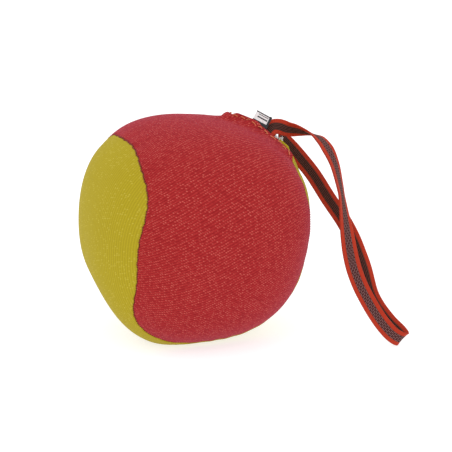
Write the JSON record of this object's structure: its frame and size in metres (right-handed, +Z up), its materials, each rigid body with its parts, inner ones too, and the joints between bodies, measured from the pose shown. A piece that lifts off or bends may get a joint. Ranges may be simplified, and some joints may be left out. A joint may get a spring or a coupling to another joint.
{
  "type": "juggling ball",
  "caption": "Stuffed cloth ball of two interlocking curved panels in two colours, rounded-cube shaped, with a flat webbing hand loop and a small folded label in its closing seam.",
  "frame": {"origin": "on the floor under the ball's centre, in the middle of the flat that it rests on", "axes": "+Z up, -Y towards the side that shows most of the red panel, +X towards the hand loop"},
  "size_m": [0.2105, 0.1502, 0.1429],
  "materials": {
    "red_cloth": "coarse twill, matt with a pink fleck",
    "yellow_cloth": "finely ribbed, matt",
    "stuffing": "loose fibre",
    "seam_thread": "spun sewing thread",
    "topstitch_thread": "spun sewing thread",
    "webbing": "woven webbing with dark grip lines",
    "label": "woven satin tape"
  },
  "bodies": {
    "ball": {"red_panel": "red_cloth", "yellow_panel": "yellow_cloth", "stuffing": "stuffing", "seam_thread": "seam_thread", "closing_topstitch": "topstitch_thread", "loop_tail_front": "webbing", "loop_tail_back": "webbing"},
    "loop": {"hand_loop": "webbing"},
    "tag": {"label": "label"}
  },
  "joints": [
    {"name": "loop_swing", "type": "hinge", "parent": "ball", "child": "loop", "pos_m": [0.0485, 0.0088, 0.1299], "axis": [0, -1, 0], "range_deg": [0, 110], "deforming": ["hand_loop"]},
    {"name": "label_flip", "type": "hinge", "parent": "ball", "child": "tag", "pos_m": [0.0431, 0.0082, 0.1344], "axis": [0.8405, -0.3202, -0.4371], "range_deg": [0, 50]}
  ]
}
